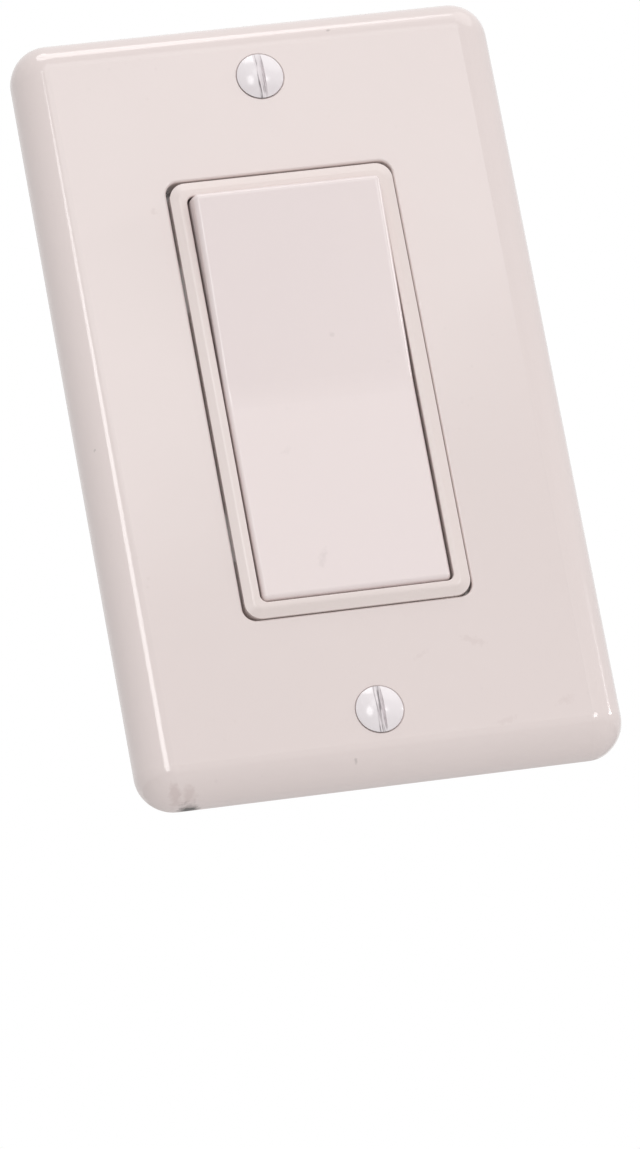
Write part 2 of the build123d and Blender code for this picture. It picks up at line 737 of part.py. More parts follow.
# Contact bridge: a brass rocker arm with a groove that sits on the line terminal's blade
bridge_side = side(-half_bridge_swing, pivot_depth)
bridge_face = facing(-half_bridge_swing, pivot_depth)
wing_back = bridge_front - bridge_wing_thickness
groove_radius = blade_thickness / 2 + blade_clearance
with BuildPart() as contact_bridge:
    with BuildSketch(bridge_side):
        with Locations((0, (bridge_front + wing_back) / 2)):
            Rectangle(2 * bridge_half_length, bridge_wing_thickness)
        with Locations((0, (bridge_front - bridge_back) / 2)):
            Rectangle(2 * bridge_hub_half_length, bridge_front + bridge_back)
        Circle(groove_radius, mode=Mode.SUBTRACT)
        with BuildLine():
            Polyline(
                (groove_radius, 0),
                (groove_radius + bridge_groove_flare, -bridge_back),
                (-groove_radius - bridge_groove_flare, -bridge_back),
                (-groove_radius, 0),
                close=True,
            )
        make_face(mode=Mode.SUBTRACT)
    extrude(amount=bridge_half_width, both=True)
    with BuildSketch(bridge_face.offset(wing_back)):
        with Locations((0, -contact_offset)):
            Circle(contact_shank_radius + running_clearance)
    extrude(amount=bridge_wing_thickness, mode=Mode.SUBTRACT)
contact_bridge.part.label = "contact_bridge"
export_step(contact_bridge.part, "parts/contact_bridge.step")

# Moving contact: a crowned silver rivet through the lower wing of the bridge
with BuildPart() as moving_contact:
    with BuildSketch(bridge_face.offset(wing_back - contact_height)):
        with Locations((0, -contact_offset)):
            Circle(contact_radius)
    extrude(amount=contact_height)
    crown_centre = bridge_face.offset(contact_crown_rise).location * Location((0, -contact_offset, 0))
    with Locations(crown_centre):
        Sphere(contact_crown, mode=Mode.INTERSECT)
    with BuildSketch(bridge_face.offset(wing_back)):
        with Locations((0, -contact_offset)):
            Circle(contact_shank_radius)
    extrude(amount=bridge_wing_thickness)
moving_contact.part.label = "moving_contact"
export_step(moving_contact.part, "parts/moving_contact.step")

# Terminal screws: slotted binding heads that clamp a wire against each side plate
wire_face = bay_right + wire_space
for label, up in (("line_terminal_screw", 1), ("load_terminal_screw", -1)):
    with BuildPart() as terminal_screw:
        with BuildSketch(side(0, terminal_screw_depth).offset(wire_face)):
            with Locations((up * terminal_spacing / 2, 0)):
                Circle(terminal_screw_head_radius)
        extrude(amount=terminal_screw_head_height)
        fillet(terminal_screw.faces().sort_by(Axis.X)[-1].edges(), terminal_screw_head_height / 3)
        with BuildSketch(side(0, terminal_screw_depth).offset(wire_face + terminal_screw_head_height)):
            with Locations((up * terminal_spacing / 2, 0)):
                Rectangle(2 * terminal_screw_head_radius, plate_screw_slot_width)
        extrude(amount=-terminal_screw_head_height / 2, mode=Mode.SUBTRACT)
        with BuildSketch(side(0, terminal_screw_depth).offset(wire_face)):
            with Locations((up * terminal_spacing / 2, 0)):
                Circle(terminal_screw_radius)
        extrude(amount=-terminal_screw_length)
        chamfer(terminal_screw.faces().sort_by(Axis.X)[0].edges(), screw_tip_chamfer)
    terminal_screw.part.label = label
    export_step(terminal_screw.part, f"parts/{label}.step")

# Ground screw: a green hexagon head screw in the strap's folded tab
ground_face = tab_left - ground_wire_space
with BuildPart() as ground_screw:
    with BuildSketch(side(0, ground_screw_depth).offset(ground_face)):
        with Locations((ground_tab_centre, 0)):
            RegularPolygon(ground_screw_half_flats, 6, major_radius=False)
    extrude(amount=-ground_screw_head_height)
    with BuildSketch(side(0, ground_screw_depth).offset(ground_face - ground_screw_head_height)):
        with Locations((ground_tab_centre, 0)):
            Rectangle(3 * ground_screw_half_flats, plate_screw_slot_width)
    extrude(amount=ground_screw_head_height / 2, mode=Mode.SUBTRACT)
    with BuildSketch(side(0, ground_screw_depth).offset(ground_face)):
        with Locations((ground_tab_centre, 0)):
            Circle(terminal_screw_radius)
    extrude(amount=ground_screw_length)
    chamfer(ground_screw.faces().sort_by(Axis.X)[-1].edges(), screw_tip_chamfer)
ground_screw.part.label = "ground_screw"
export_step(ground_screw.part, "parts/ground_screw.step")
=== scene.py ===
from math import asin, cos, pi, radians, sin

import bmesh
import bpy
from mathutils import Matrix, Vector


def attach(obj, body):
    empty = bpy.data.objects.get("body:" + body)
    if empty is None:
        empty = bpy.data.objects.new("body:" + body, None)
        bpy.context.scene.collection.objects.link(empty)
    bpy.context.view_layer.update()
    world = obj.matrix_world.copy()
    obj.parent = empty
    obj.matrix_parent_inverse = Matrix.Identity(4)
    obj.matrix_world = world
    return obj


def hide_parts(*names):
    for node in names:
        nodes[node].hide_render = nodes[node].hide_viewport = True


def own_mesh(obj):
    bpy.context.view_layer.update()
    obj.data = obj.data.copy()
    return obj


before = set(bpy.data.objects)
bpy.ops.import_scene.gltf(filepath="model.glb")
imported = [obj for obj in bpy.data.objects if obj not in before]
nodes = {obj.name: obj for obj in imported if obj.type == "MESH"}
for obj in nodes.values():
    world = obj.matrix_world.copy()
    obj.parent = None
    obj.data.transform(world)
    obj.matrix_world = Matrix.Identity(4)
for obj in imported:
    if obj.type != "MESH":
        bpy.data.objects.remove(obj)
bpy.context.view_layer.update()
scene = bpy.context.scene
MM = 0.001

# Mounting strap: the pressed steel bridge that carries the whole switch and screws to the wall box.
# It is zinc plated in a barrel, so the coating is pale, a little cloudy and lightly rubbed.
# The body is riveted to its back, and the cover plate screws into its two ends.


def paint(red, green, blue):
    """The linear colour of a finish given by its screen values, 0 to 255."""
    linear = []
    for value in (red / 255, green / 255, blue / 255):
        linear.append(value / 12.92 if value <= 0.04045 else ((value + 0.055) / 1.055) ** 2.4)
    return (*linear, 1.0)


def new_group(name, inputs, outputs):
    """An empty shader group with its two end nodes. Inputs are (name, kind, start value)."""
    group = bpy.data.node_groups.new(name, "ShaderNodeTree")
    for label, kind, start in inputs:
        socket = group.interface.new_socket(label, in_out="INPUT", socket_type=kind)
        socket.default_value = start
    for label, kind in outputs:
        group.interface.new_socket(label, in_out="OUTPUT", socket_type=kind)
    return group, group.nodes.new("NodeGroupInput"), group.nodes.new("NodeGroupOutput")


def piece_place(tree):
    """Where a point lies on its own piece, in metres."""
    return tree.nodes.new("ShaderNodeTexCoord").outputs["Object"]


def stretched(tree, place, scale):
    """The place multiplied by a scale on each axis."""
    node = tree.nodes.new("ShaderNodeMapping")
    node.inputs["Scale"].default_value = scale
    tree.links.new(place, node.inputs["Vector"])
    return node.outputs["Vector"]


def noise(tree, place, scale, detail):
    """Cloudy noise read at a place, with scale blots to the metre."""
    node = tree.nodes.new("ShaderNodeTexNoise")
    node.inputs["Scale"].default_value = scale
    node.inputs["Detail"].default_value = detail
    tree.links.new(place, node.inputs["Vector"])
    return node.outputs["Fac"]


def ramp(tree, value, start, end, low=0.0, high=1.0):
    """The value carried from start..end to low..high, and held at both ends."""
    node = tree.nodes.new("ShaderNodeMapRange")
    node.inputs["From Min"].default_value = start
    node.inputs["From Max"].default_value = end
    node.inputs["To Min"].default_value = low
    node.inputs["To Max"].default_value = high
    tree.links.new(value, node.inputs["Value"])
    return node.outputs["Result"]


def calculate(tree, operation, *operands):
    """A math node. Each operand is a socket or a number."""
    node = tree.nodes.new("ShaderNodeMath")
    node.operation = operation
    for socket, operand in zip(node.inputs, operands):
        if isinstance(operand, (int, float)):
            socket.default_value = operand
        else:
            tree.links.new(operand, socket)
    return node.outputs["Value"]


def blend_colour(tree, mask, under, over):
    """Lays one colour over another through a mask. Each colour is a socket or four numbers."""
    node = tree.nodes.new("ShaderNodeMix")
    node.data_type = "RGBA"
    tree.links.new(mask, node.inputs["Factor"])
    for socket, colour in ((node.inputs["A"], under), (node.inputs["B"], over)):
        if isinstance(colour, tuple):
            socket.default_value = colour
        else:
            tree.links.new(colour, socket)
    return node.outputs["Result"]


finish_outputs = [
    ("Color", "NodeSocketColor"),
    ("Roughness", "NodeSocketFloat"),
    ("Height", "NodeSocketFloat"),
]
worn_metal, given, result = new_group(
    "worn_metal",
    [
        ("Metal", "NodeSocketColor", (0.6, 0.6, 0.6, 1)),
        ("Tarnish", "NodeSocketColor", (0.3, 0.3, 0.3, 1)),
        ("Tarnish Amount", "NodeSocketFloat", 0.5),
        ("Roughness", "NodeSocketFloat", 0.3),
        ("Grain", "NodeSocketFloat", 1.0),
    ],
    finish_outputs,
)
tree = worn_metal
place = piece_place(tree)
rolled = noise(tree, stretched(tree, place, (1, 1, 0.08)), scale=2400, detail=2)
cloud = noise(tree, place, scale=160, detail=4)
spots = noise(tree, place, scale=900, detail=3)
spot_share = 0.35
tarnish_dulling = 0.25
patch = calculate(tree, "MULTIPLY_ADD", spots, spot_share, cloud)
patch = ramp(tree, patch, start=0.58, end=0.86)
tarnished = calculate(tree, "MULTIPLY", patch, given.outputs["Tarnish Amount"])
metal_colour = blend_colour(tree, tarnished, given.outputs["Metal"], given.outputs["Tarnish"])
tree.links.new(metal_colour, result.inputs["Color"])
streak = ramp(tree, rolled, start=0.3, end=0.7, low=-0.06, high=0.08)
streak = calculate(tree, "MULTIPLY", streak, given.outputs["Grain"])
duller = calculate(tree, "MULTIPLY_ADD", tarnished, tarnish_dulling, streak)
metal_roughness = calculate(tree, "ADD", duller, given.outputs["Roughness"])
tree.links.new(metal_roughness, result.inputs["Roughness"])
grain_height = calculate(tree, "MULTIPLY_ADD", rolled, given.outputs["Grain"], spots)
tree.links.new(grain_height, result.inputs["Height"])


def use_group(material, group, values):
    """Places a shader group in a material, sets its values and joins it to the shader."""
    tree = material.node_tree
    shader = tree.nodes["Principled BSDF"]
    node = tree.nodes.new("ShaderNodeGroup")
    node.node_tree = group
    for label, value in values.items():
        node.inputs[label].default_value = value
    tree.links.new(node.outputs["Color"], shader.inputs["Base Color"])
    tree.links.new(node.outputs["Roughness"], shader.inputs["Roughness"])
    return node, shader


def relief(material, height, depth, strength):
    """Joins a height to the shader as fine relief, depth in millimetres."""
    tree = material.node_tree
    bump = tree.nodes.new("ShaderNodeBump")
    bump.inputs["Strength"].default_value = strength
    bump.inputs["Distance"].default_value = depth * MM
    tree.links.new(height, bump.inputs["Height"])
    tree.links.new(bump.outputs["Normal"], tree.nodes["Principled BSDF"].inputs["Normal"])


def metal(name, colour, tarnish, tarnish_amount, roughness, grain):
    """A metal with rolled grain and patches of tarnish."""
    material = bpy.data.materials.new(name)
    material.use_nodes = True
    values = {
        "Metal": colour,
        "Tarnish": tarnish,
        "Tarnish Amount": tarnish_amount,
        "Roughness": roughness,
        "Grain": grain,
    }
    node, shader = use_group(material, worn_metal, values)
    shader.inputs["Metallic"].default_value = 1.0
    relief(material, node.outputs["Height"], depth=0.008, strength=0.4)
    return material


def dress(name, material):
    """Gives a CAD node its finish."""
    piece = nodes[name]
    piece.data.materials.clear()
    piece.data.materials.append(material)


zinc = metal(
    "zinc_plate",
    paint(205, 207, 208),
    tarnish=paint(168, 168, 160),
    tarnish_amount=0.7,
    roughness=0.34,
    grain=1.0,
)
dress("mounting_strap", zinc)

# Insulating sheet: grey vulcanised fibre between the strap and the live parts.
# It is punched from sheet, so the faces are calendered and the fibres show as fine flecks.

fibre = bpy.data.materials.new("vulcanised_fibre")
fibre.use_nodes = True
tree = fibre.node_tree
shader = tree.nodes["Principled BSDF"]
place = piece_place(tree)
flecks = noise(tree, stretched(tree, place, (1, 1, 0.25)), scale=2200, detail=4)
felt = noise(tree, place, scale=420, detail=5)
felt_mask = ramp(tree, felt, start=0.35, end=0.65)
fleck_mask = ramp(tree, flecks, start=0.48, end=0.66)
felt_colour = blend_colour(tree, felt_mask, paint(84, 80, 76), paint(104, 98, 92))
fibre_colour = blend_colour(tree, fleck_mask, felt_colour, paint(136, 128, 118))
fibre_roughness = ramp(tree, felt, start=0.3, end=0.7, low=0.62, high=0.82)
tree.links.new(fibre_colour, shader.inputs["Base Color"])
tree.links.new(fibre_roughness, shader.inputs["Roughness"])
relief(fibre, calculate(tree, "ADD", flecks, felt), depth=0.03, strength=0.6)
dress("insulating_sheet", fibre)

# Back body: the deep moulded box behind the wall that holds the contacts and the terminals.
# It is a dark grey glass-filled plastic with a spark-eroded texture, and keeps some plaster dust.

moulded_skin, given, result = new_group(
    "moulded_skin",
    [
        ("Plastic", "NodeSocketColor", (0.8, 0.8, 0.8, 1)),
        ("Drift", "NodeSocketColor", (0.8, 0.8, 0.8, 1)),
        ("Dust", "NodeSocketColor", (0.3, 0.3, 0.3, 1)),
        ("Dust Amount", "NodeSocketFloat", 0.3),
        ("Roughness", "NodeSocketFloat", 0.2),
        ("Texture Scale", "NodeSocketFloat", 400.0),
    ],
    finish_outputs,
)
tree = moulded_skin
place = piece_place(tree)
flow = ramp(tree, noise(tree, place, scale=24, detail=3), start=0.3, end=0.7)
drifted = blend_colour(tree, flow, given.outputs["Plastic"], given.outputs["Drift"])
grains = tree.nodes.new("ShaderNodeTexVoronoi")
grains.inputs["Scale"].default_value = 420
tree.links.new(place, grains.inputs["Vector"])
motes = ramp(tree, grains.outputs["Distance"], start=0.06, end=0.14, low=1.0, high=0.0)
settled = ramp(tree, noise(tree, place, scale=60, detail=2), start=0.52, end=0.7)
dusty = calculate(tree, "MULTIPLY", motes, settled)
dusty = calculate(tree, "MULTIPLY", dusty, given.outputs["Dust Amount"])
skin_colour = blend_colour(tree, dusty, drifted, given.outputs["Dust"])
tree.links.new(skin_colour, result.inputs["Color"])
uneven = noise(tree, place, scale=45, detail=4)
uneven = ramp(tree, uneven, start=0.35, end=0.65, low=-0.02, high=0.03)
skin_roughness = calculate(tree, "ADD", uneven, given.outputs["Roughness"])
tree.links.new(skin_roughness, result.inputs["Roughness"])
pores = tree.nodes.new("ShaderNodeTexNoise")
pores.inputs["Detail"].default_value = 2
tree.links.new(given.outputs["Texture Scale"], pores.inputs["Scale"])
tree.links.new(place, pores.inputs["Vector"])
tree.links.new(pores.outputs["Fac"], result.inputs["Height"])


def plastic(name, colour, drift, dust, dust_amount, roughness, texture_scale, texture_depth):
    """A moulded plastic with slight colour drift, settled dust and a skin texture."""
    material = bpy.data.materials.new(name)
    material.use_nodes = True
    values = {
        "Plastic": colour,
        "Drift": drift,
        "Dust": dust,
        "Dust Amount": dust_amount,
        "Roughness": roughness,
        "Texture Scale": texture_scale,
    }
    node, shader = use_group(material, moulded_skin, values)
    shader.inputs["IOR"].default_value = 1.6
    relief(material, node.outputs["Height"], depth=texture_depth, strength=0.5)
    return material


body_plastic = plastic(
    "body_plastic",
    paint(50, 51, 54),
    drift=paint(44, 45, 48),
    dust=paint(150, 146, 138),
    dust_amount=0.5,
    roughness=0.42,
    texture_scale=3000,
    texture_depth=0.03,
)
dress("back_body", body_plastic)

# Terminals and fixed contact: two bent strips of spring brass that carry the current.
# The upper one holds the pivot of the contact bridge, and the lower one carries a silver button.

brass = metal(
    "terminal_brass",
    paint(214, 178, 104),
    tarnish=paint(150, 110, 66),
    tarnish_amount=0.6,
    roughness=0.26,
    grain=1.2,
)
silver = metal(
    "contact_silver",
    paint(226, 224, 218),
    tarnish=paint(140, 132, 124),
    tarnish_amount=0.5,
    roughness=0.22,
    grain=0.4,
)
dress("line_terminal", brass)
dress("load_terminal", brass)
dress("fixed_contact", silver)

# Terminal screws: brass binding screws that clamp the two wires on the right side.
# The heads are turned and slotted, and the threads are rolled. A driver has marked the slots.

thread_pitch = 0.794
thread_depth = 0.42
thread_lead_in = 0.6
thread_crest = 1.2
thread_flank = 2.6
tip_bevel = 0.4
slot_width = 1.15
corners_round = 48
rings_per_turn = 8


def rounded_head(radius, height, edge_round, steps):
    """The outline of a round head with a rolled top edge, from its top to its seat."""
    outline = [(-height, radius - edge_round)]
    for step in range(1, steps + 1):
        turn = radians(90) * step / steps
        rise = edge_round * (1 - cos(turn))
        outline.append((rise - height, radius - edge_round * (1 - sin(turn))))
    outline.append((0, radius))
    return outline


def screw_blank(head, shank, thread_end, major, half_flats):
    """An unslotted screw round the Z axis, its head below 0. The thread runs to thread_end.

    head and shank are (distance, radius) pairs from the top of the head to the thread's start.
    half_flats is half a hexagon's width, or 0 for a round head.
    """
    shape = bmesh.new()
    rings = []
    sixth = radians(60)

    def ring(along, radius_at):
        corners = []
        for k in range(corners_round):
            angle = 2 * pi * k / corners_round
            radius = radius_at(k)
            corners.append(shape.verts.new((sin(angle) * radius, cos(angle) * radius, along)))
        rings.append(corners)

    def flat_radius(k):
        return half_flats / cos((2 * pi * k / corners_round) % sixth - sixth / 2)

    for along, radius in head:
        if half_flats:
            ring(along, lambda k: min(radius, flat_radius(k)))
        else:
            ring(along, lambda k: radius)
    for along, radius in shank:
        ring(along, lambda k: radius)
    thread_start = shank[-1][0]
    thread_length = thread_end - thread_start
    root = major - thread_depth
    steps = int(thread_length / thread_pitch * rings_per_turn)
    for step in range(1, steps + 1):
        along = thread_start + thread_length * step / steps
        grown = min(1.0, (along - thread_start) / thread_lead_in)
        limit = major - max(0.0, along - thread_end + tip_bevel)

        def thread_radius(k):
            """Flat crests, sloping flanks and narrow roots, grown from the neck to a bevelled tip."""
            turn = ((along - thread_start) / thread_pitch - k / corners_round) % 1
            height = min(1.0, max(0.0, thread_crest - thread_flank * abs(turn - 0.5)))
            return min(limit, root + (major - root) * height * grown)

        ring(along, thread_radius)
    for low, high in zip(rings, rings[1:]):
        for k in range(corners_round):
            shape.faces.new((low[k], low[k - 1], high[k - 1], high[k]))
    shape.faces.new(rings[0])
    shape.faces.new(list(reversed(rings[-1])))
    bmesh.ops.recalc_face_normals(shape, faces=shape.faces)
    return shape


def slotted_mesh(piece, slot_floor, reach):
    """The piece's mesh with a screwdriver slot cut into its head, as deep as slot_floor."""
    blade_height = 4.0
    middle = Matrix.Translation((0, 0, slot_floor - blade_height / 2))
    sides = Matrix.Diagonal((slot_width, reach, blade_height, 1))
    blade = bmesh.new()
    bmesh.ops.create_cube(blade, size=1, matrix=middle @ sides)
    cutter = bpy.data.objects.new("slot_cutter", bpy.data.meshes.new("slot_cutter"))
    blade.to_mesh(cutter.data)
    blade.free()
    scene.collection.objects.link(cutter)
    cut = piece.modifiers.new("slot", "BOOLEAN")
    cut.operation = "DIFFERENCE"
    cut.solver = "EXACT"
    cut.object = cutter
    bpy.context.view_layer.update()
    finished = piece.evaluated_get(bpy.context.evaluated_depsgraph_get())
    mesh = bpy.data.meshes.new_from_object(finished)
    piece.modifiers.clear()
    bpy.data.objects.remove(cutter)
    return mesh


def soften_head(shape):
    """Breaks the sharp edges of a screw's head."""
    weld_distance = 0.0005
    seat_margin = 0.05
    edge_round = 0.05
    bmesh.ops.remove_doubles(shape, verts=shape.verts, dist=weld_distance)
    sharp = []
    for edge in shape.edges:
        on_head = max(vert.co.z for vert in edge.verts) < -seat_margin
        if on_head and len(edge.link_faces) == 2 and edge.calc_face_angle(0) > radians(40):
            sharp.append(edge)
    bmesh.ops.bevel(
        shape, geom=sharp, offset=edge_round, segments=2, affect="EDGES", clamp_overlap=True
    )


def shade_smooth(piece, crease):
    """Smooths a piece's shading, apart from edges sharper than the crease in degrees."""
    piece.data.polygons.foreach_set("use_smooth", [True] * len(piece.data.polygons))
    piece.data.set_sharp_from_angle(angle=radians(crease))


def turned_screw(
    name, seat, into, slot_along, head, shank, thread_end, major, slot_floor, half_flats=0
):
    """A slotted screw, made in millimetres along its own axis and then stood in its place.

    Its head ends at the seat, it points into the work, and its slot lies along slot_along.
    """
    shape = screw_blank(head, shank, thread_end, major, half_flats)
    piece = bpy.data.objects.new(name, bpy.data.meshes.new(name))
    shape.to_mesh(piece.data)
    shape.free()
    scene.collection.objects.link(piece)
    head_radius = head[-1][1]
    mesh = slotted_mesh(piece, slot_floor, reach=2.5 * head_radius)
    forward = Vector(into)
    upward = Vector(slot_along)
    turned = Matrix((upward.cross(forward), upward, forward)).transposed().to_4x4()
    stand = Matrix.Translation(Vector(seat) * MM) @ turned @ Matrix.Scale(MM, 4)
    finished = bmesh.new()
    finished.from_mesh(mesh)
    soften_head(finished)
    bmesh.ops.transform(finished, matrix=stand, verts=finished.verts)
    finished.to_mesh(mesh)
    finished.free()
    piece.data = mesh
    piece.data.name = name
    shade_smooth(piece, crease=38)
    return piece


def fit_screw(piece, material, node, bare=None, bare_from=0.0):
    """Finishes a screw and puts it in its CAD node's place. A painted one is bare past bare_from."""
    piece.data.materials.append(material)
    if bare:
        piece.data.materials.append(bare)
        for face in piece.data.polygons:
            face.material_index = int(face.center.y > bare_from * MM)
    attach(piece, "switch")
    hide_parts(node)


wire_screw_seat = 14.2
wire_screw_depth = 13.0
wire_screw_spacing = 19.0
wire_screw_length = 6.6
wire_screw_thread = 2.05
wire_screw_neck = 1.63
binding_head = rounded_head(radius=4.2, height=2.4, edge_round=0.8, steps=6)
screw_brass = metal(
    "screw_brass",
    paint(206, 170, 96),
    tarnish=paint(132, 96, 58),
    tarnish_amount=0.5,
    roughness=0.3,
    grain=0.5,
)
for node, up in (("line_terminal_screw", 1), ("load_terminal_screw", -1)):
    screw = turned_screw(
        node + "_threaded",
        seat=(wire_screw_seat, wire_screw_depth, up * wire_screw_spacing / 2),
        into=(-1, 0, 0),
        slot_along=(0, 0, 1),
        head=binding_head,
        shank=[(0, wire_screw_neck)],
        thread_end=wire_screw_length,
        major=wire_screw_thread,
        slot_floor=-1.2,
    )
    fit_screw(screw, screw_brass, node)

# Contact bridge: a small stamped rocker of brass that tips on the line terminal's blade.
# The plunger pushes it over, and the silver button riveted to its end meets the fixed one.

dress("contact_bridge", brass)
dress("moving_contact", silver)

# Rivets: two semi-tubular steel rivets that hold body, fibre sheet and strap together.
# Their heads sit in the recesses in the back, and are bright where the tool rolled them.

rivet_steel = metal(
    "rivet_steel",
    paint(190, 190, 188),
    tarnish=paint(120, 114, 106),
    tarnish_amount=0.5,
    roughness=0.38,
    grain=0.3,
)
dress("upper_rivet", rivet_steel)
dress("lower_rivet", rivet_steel)

# Paddle: the large key that a finger presses at its top or its bottom.
# It is moulded in white plastic with a satin face, and pivots on two short pins behind its fold.
# Years of fingers have left a faint scuff near the bottom and a dull spot in the middle.


def vector_step(tree, operation, first, second=None):
    """A vector math node that works on one or two sockets."""
    node = tree.nodes.new("ShaderNodeVectorMath")
    node.operation = operation
    tree.links.new(first, node.inputs[0])
    if second:
        tree.links.new(second, node.inputs[1])
    return node


handling_mark, given, result = new_group(
    "handling_mark",
    [
        ("Centre", "NodeSocketVector", (0, 0, 0)),
        ("Reach", "NodeSocketVector", (1, 1, 1)),
        ("Lean", "NodeSocketFloat", 0.0),
        ("Breakup", "NodeSocketFloat", 0.5),
        ("Strength", "NodeSocketFloat", 0.5),
    ],
    [("Mask", "NodeSocketFloat")],
)
tree = handling_mark
place = piece_place(tree)
from_centre = vector_step(tree, "SUBTRACT", place, given.outputs["Centre"])
leaned = tree.nodes.new("ShaderNodeVectorRotate")
leaned.rotation_type = "Y_AXIS"
tree.links.new(from_centre.outputs["Vector"], leaned.inputs["Vector"])
tree.links.new(given.outputs["Lean"], leaned.inputs["Angle"])
sized = vector_step(tree, "DIVIDE", leaned.outputs["Vector"], given.outputs["Reach"])
distance = vector_step(tree, "LENGTH", sized.outputs["Vector"]).outputs["Value"]
ragged = noise(tree, place, scale=1500, detail=4)
ragged = ramp(tree, ragged, start=0.3, end=0.7, low=-0.9, high=0.9)
ragged = calculate(tree, "MULTIPLY", ragged, given.outputs["Breakup"])
mark_edge = calculate(tree, "ADD", distance, ragged)
mark = ramp(tree, mark_edge, start=0.35, end=1.0, low=1.0, high=0.0)
mark = calculate(tree, "MULTIPLY", mark, given.outputs["Strength"])
tree.links.new(mark, result.inputs["Mask"])


def add_marks(material, marks):
    """Lays marks over a colour.

    Each is its centre and reach in millimetres, lean in degrees, breakup, strength and colour.
    """
    tree = material.node_tree
    shader = tree.nodes["Principled BSDF"]
    colour = shader.inputs["Base Color"].links[0].from_socket
    for centre, reach, lean, breakup, strength, dirt in marks:
        node = tree.nodes.new("ShaderNodeGroup")
        node.node_tree = handling_mark
        node.inputs["Centre"].default_value = [part * MM for part in centre]
        node.inputs["Reach"].default_value = [part * MM for part in reach]
        node.inputs["Lean"].default_value = radians(lean)
        node.inputs["Breakup"].default_value = breakup
        node.inputs["Strength"].default_value = strength
        colour = blend_colour(tree, node.outputs["Mask"], colour, dirt)
    tree.links.new(colour, shader.inputs["Base Color"])


paddle_plastic = plastic(
    "paddle_plastic",
    paint(233, 220, 219),
    drift=paint(232, 219, 217),
    dust=paint(170, 154, 150),
    dust_amount=0.06,
    roughness=0.21,
    texture_scale=900,
    texture_depth=0.006,
)
grey_scuff = paint(176, 164, 162)
add_marks(
    paddle_plastic,
    [
        ((-4.2, -5.6, -25.5), (0.7, 3, 2.1), -25, 0.35, 0.16, grey_scuff),
        ((2.9, -7, 7.4), (0.5, 3, 0.5), 0, 0.3, 0.18, grey_scuff),
        ((-6.5, -6, -9.0), (1.4, 3, 0.5), 15, 0.6, 0.07, grey_scuff),
    ],
)
dress("rocker_paddle", paddle_plastic)

# Plunger and its spring: a slippery acetal pin and a steel coil inside the paddle's post.
# The coil keeps the pin's nose on the bridge, so the bridge snaps over as the paddle rocks.

acetal = plastic(
    "acetal",
    paint(238, 236, 228),
    drift=paint(232, 230, 221),
    dust=paint(120, 116, 108),
    dust_amount=0.4,
    roughness=0.35,
    texture_scale=1400,
    texture_depth=0.01,
)
dress("plunger", acetal)
spring_steel = metal(
    "spring_steel",
    paint(178, 178, 176),
    tarnish=paint(96, 92, 88),
    tarnish_amount=0.4,
    roughness=0.28,
    grain=0.3,
)
paddle_tilt = radians(3.15)
hinge_height = 2.25
bore_end_height = 1.45
wire_radius = 0.225 * MM
coil_radius = 1.665 * MM
spring_turns = 6
spring_length = 8.35 * MM
end_closing = 0.05
points_per_turn = 28
wire_sides = 12
outward = Vector((0, -cos(paddle_tilt), -sin(paddle_tilt)))
across = Vector((1, 0, 0))
along_slope = outward.cross(across)
bore_end = Vector((0, -hinge_height, 0)) * MM + outward * bore_end_height * MM
coil = bmesh.new()
loops = []
for step in range(spring_turns * points_per_turn + 1):
    share = step / (spring_turns * points_per_turn)
    angle = 2 * pi * spring_turns * share
    risen = share - end_closing * sin(2 * pi * share)
    radial = across * cos(angle) + along_slope * sin(angle)
    centre = bore_end - outward * (wire_radius + spring_length * risen) + radial * coil_radius
    loop = []
    for k in range(wire_sides):
        around_wire = 2 * pi * k / wire_sides
        offset = radial * cos(around_wire) + outward * sin(around_wire)
        loop.append(coil.verts.new(centre + offset * wire_radius))
    loops.append(loop)
for low, high in zip(loops, loops[1:]):
    for k in range(wire_sides):
        coil.faces.new((low[k], low[k - 1], high[k - 1], high[k]))
coil.faces.new(loops[0])
coil.faces.new(list(reversed(loops[-1])))
bmesh.ops.recalc_face_normals(coil, faces=coil.faces)
spring = bpy.data.objects.new("plunger_coil", bpy.data.meshes.new("plunger_coil"))
coil.to_mesh(spring.data)
coil.free()
shade_smooth(spring, crease=50)
spring.data.materials.append(spring_steel)
scene.collection.objects.link(spring)
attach(spring, "paddle")
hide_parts("plunger_spring")
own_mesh(spring)

# Front housing: the plain frame round the paddle, moulded from the same white plastic.
# It has a slightly duller skin than the plate, and four snap legs hold it to the back body.

housing_plastic = plastic(
    "housing_plastic",
    paint(229, 216, 212),
    drift=paint(227, 214, 210),
    dust=paint(150, 132, 124),
    dust_amount=0.06,
    roughness=0.24,
    texture_scale=700,
    texture_depth=0.006,
)
dress("front_housing", housing_plastic)

# Box screws: zinc-plated pan head screws that draw the strap against the wall box.
# Each has a turned neck, so that the fibre washer behind the strap can't fall off.

strap_front = -1.2
box_screw_spacing = 83.34
box_screw_length = 25.4
machine_thread = 1.75
machine_neck = 1.4
box_screw_neck_end = 2.05
pan_head = rounded_head(radius=3.45, height=2.0, edge_round=1.0, steps=8)
screw_zinc = metal(
    "screw_zinc",
    paint(198, 199, 196),
    tarnish=paint(150, 146, 130),
    tarnish_amount=0.6,
    roughness=0.3,
    grain=0.4,
)
for side, up in (("upper", 1), ("lower", -1)):
    screw = turned_screw(
        side + "_box_screw",
        seat=(0, strap_front, up * box_screw_spacing / 2),
        into=(0, 1, 0),
        slot_along=(1, 0, 0),
        head=pan_head,
        shank=[(0, machine_neck), (box_screw_neck_end, machine_neck)],
        thread_end=box_screw_length,
        major=machine_thread,
        slot_floor=-1.0,
    )
    fit_screw(screw, screw_zinc, side + "_mounting_screw")
    dress(side + "_screw_retainer", fibre)

# Ground screw: the green hexagon screw in the strap's folded tab, for the bare earth wire.
# The green is a thin dyed lacquer over plated steel, rubbed bright round the slot.

